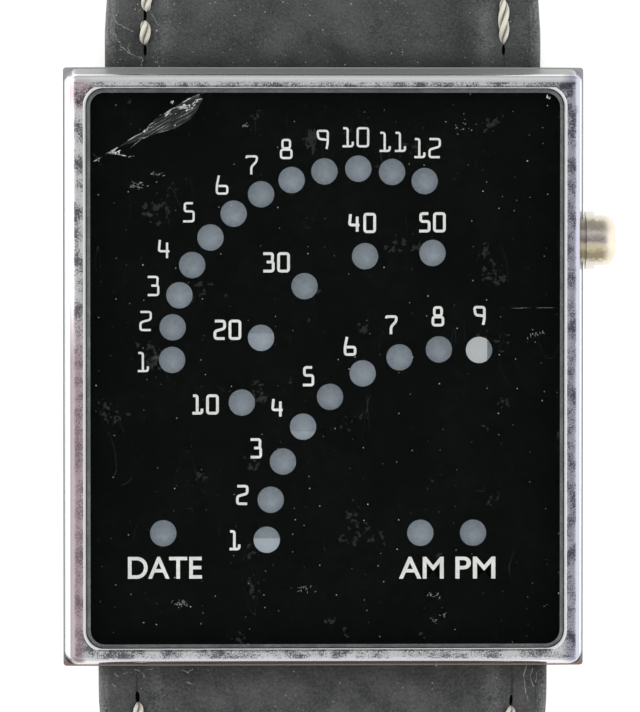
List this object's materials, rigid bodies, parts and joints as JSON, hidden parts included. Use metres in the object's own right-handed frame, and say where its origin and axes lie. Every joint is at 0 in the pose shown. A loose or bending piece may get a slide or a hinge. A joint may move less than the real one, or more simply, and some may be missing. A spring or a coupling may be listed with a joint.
{
  "type": "led watch",
  "caption": "Rectangular chromed LED wristwatch with a black glass face, arcs of round light windows, a side pusher and an open leather strap with a pin buckle.",
  "frame": {"origin": "centre of the case back's outer face, on which the watch rests with its strap laid open", "axes": "+Z out of the crystal, +Y towards 12 o'clock and the buckle, +X towards the pusher"},
  "size_m": [0.0376, 0.2307, 0.0101],
  "materials": {
    "chromed_case": "bright chrome plate, pitted with wear",
    "mineral_glass": "ground edge, polished, scratched",
    "black_mask": "gloss black print",
    "diffuser_film": "satin translucent grey",
    "seal_rubber": "matt",
    "brushed_back": "line brushed stainless steel",
    "screw_steel": "turned steel",
    "baffle_plastic": "moulded black",
    "emitter_resin": "clear resin on a white base",
    "board_laminate": "green solder mask",
    "chip_epoxy": "moulded epoxy",
    "can_steel": "drawn steel can",
    "capacitor_ceramic": "tinned ends",
    "module_plastic": "moulded natural plastic",
    "cell_steel": "nickelled can",
    "contact_bronze": "stamped phosphor bronze",
    "clear_film": "polyimide film",
    "nickel_collar": "turned, pale champagne nickel",
    "nickel_button": "turned and polished, pale champagne nickel",
    "spring_steel": "drawn wire",
    "bar_steel": "turned stainless steel",
    "strap_leather": "worn charcoal-black grain",
    "lining_leather": "brown lining with a nap",
    "keeper_leather": "charcoal-black grain",
    "buckle_steel": "polished, finely scratched"
  },
  "bodies": {
    "case": {"case_body": "chromed_case", "crystal": "mineral_glass", "dial_mask": "black_mask", "window_diffuser": "diffuser_film", "crystal_gasket": "seal_rubber", "case_back_gasket": "seal_rubber", "pusher_seals": "seal_rubber", "case_back": "brushed_back", "case_back_screws": "screw_steel", "light_baffle": "baffle_plastic", "led_emitters": "emitter_resin", "circuit_board": "board_laminate", "driver_chip": "chip_epoxy", "quartz_oscillator": "can_steel", "board_capacitors": "capacitor_ceramic", "module_frame": "module_plastic", "battery_cell_lower": "cell_steel", "battery_cell_upper": "cell_steel", "contact_negative": "contact_bronze", "contact_positive": "contact_bronze", "switch_leaf": "contact_bronze", "insulator_film": "clear_film", "pusher_collar": "nickel_collar", "pusher_spring": "spring_steel", "spring_bar_12": "bar_steel", "spring_bar_6": "bar_steel"},
    "pusher": {"pusher_button": "nickel_button", "pusher_clip": "spring_steel"},
    "strap_12": {"strap_buckle_outer": "strap_leather", "strap_buckle_lining": "lining_leather", "keeper_fixed": "keeper_leather"},
    "strap_6": {"strap_tail_outer": "strap_leather", "strap_tail_lining": "lining_leather"},
    "free_keeper": {"keeper_free": "keeper_leather"},
    "buckle": {"buckle_frame": "buckle_steel", "buckle_bar": "buckle_steel"},
    "tongue": {"buckle_tongue": "buckle_steel"},
    "tip_12_left": {"bar_tip_12_left": "bar_steel"},
    "tip_12_right": {"bar_tip_12_right": "bar_steel"},
    "tip_6_left": {"bar_tip_6_left": "bar_steel"},
    "tip_6_right": {"bar_tip_6_right": "bar_steel"}
  },
  "joints": [
    {"name": "pusher_press", "type": "slide", "parent": "case", "child": "pusher", "axis": [-1, 0, 0], "range_m": [0, 0.0004], "stiffness_N_per_m": 900, "springref_m": -0.0008, "deforming": ["pusher_spring"]},
    {"name": "strap_12_swing", "type": "hinge", "parent": "case", "child": "strap_12", "pos_m": [0, 0.0176, 0.0029], "axis": [1, 0, 0], "range_deg": [-90, 6]},
    {"name": "strap_6_swing", "type": "hinge", "parent": "case", "child": "strap_6", "pos_m": [0, -0.0176, 0.0029], "axis": [-1, 0, 0], "range_deg": [-90, 5]},
    {"name": "keeper_slide", "type": "slide", "parent": "strap_12", "child": "free_keeper", "axis": [0, 1, 0], "range_m": [-0.007, 0.011]},
    {"name": "buckle_swing", "type": "hinge", "parent": "strap_12", "child": "buckle", "pos_m": [0, 0.0896, 0.0023], "axis": [1, 0, 0], "range_deg": [-90, 30]},
    {"name": "tongue_swing", "type": "hinge", "parent": "buckle", "child": "tongue", "pos_m": [0, 0.0896, 0.0023], "axis": [1, 0, 0], "range_deg": [0, 110]},
    {"name": "tip_12_left_retract", "type": "slide", "parent": "case", "child": "tip_12_left", "axis": [1, 0, 0], "range_m": [0, 0.00105], "stiffness_N_per_m": 300, "springref_m": -0.002},
    {"name": "tip_12_right_retract", "type": "slide", "parent": "case", "child": "tip_12_right", "axis": [-1, 0, 0], "range_m": [0, 0.00105], "stiffness_N_per_m": 300, "springref_m": -0.002},
    {"name": "tip_6_left_retract", "type": "slide", "parent": "case", "child": "tip_6_left", "axis": [1, 0, 0], "range_m": [0, 0.00105], "stiffness_N_per_m": 300, "springref_m": -0.002},
    {"name": "tip_6_right_retract", "type": "slide", "parent": "case", "child": "tip_6_right", "axis": [-1, 0, 0], "range_m": [0, 0.00105], "stiffness_N_per_m": 300, "springref_m": -0.002}
  ]
}
